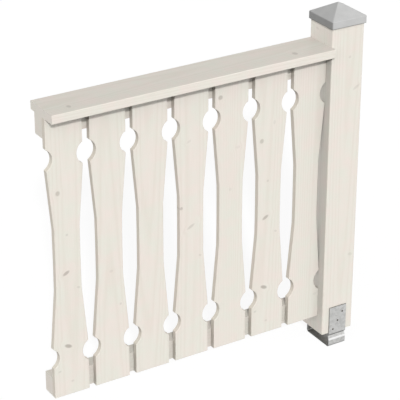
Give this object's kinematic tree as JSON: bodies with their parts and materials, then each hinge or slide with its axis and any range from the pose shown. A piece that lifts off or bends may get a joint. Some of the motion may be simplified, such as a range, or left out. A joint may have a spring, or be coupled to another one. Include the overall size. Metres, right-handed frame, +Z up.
{
  "type": "wooden balcony railing bay",
  "caption": "Balcony railing bay in pale glazed wood: notched, waisted slats on two rails under a flat handrail, with a square post, a pyramid cap and a steel strap bracket to bolt down.",
  "frame": {"origin": "centre of the underside of the bracket's base, on the post's axis", "axes": "+Z up along the post; +X along the railing from its free end towards the post; the slats' front faces look along -Y"},
  "size_m": [0.832, 0.108, 0.9037],
  "materials": {
    "glazed_spruce": "white-glazed planed spruce, matt, with faint grain and knots",
    "cap_sheet": "dull pressed zinc-coated sheet",
    "galvanised_strap": "dull hot-dip galvanised strap steel"
  },
  "bodies": {
    "root": {"slat_1": "glazed_spruce", "slat_2": "glazed_spruce", "slat_3": "glazed_spruce", "slat_4": "glazed_spruce", "slat_5": "glazed_spruce", "slat_6": "glazed_spruce", "slat_7": "glazed_spruce", "upper_rail": "glazed_spruce", "lower_rail": "glazed_spruce", "handrail": "glazed_spruce", "post": "glazed_spruce", "post_cap": "cap_sheet", "post_bracket": "galvanised_strap"}
  },
  "joints": []
}
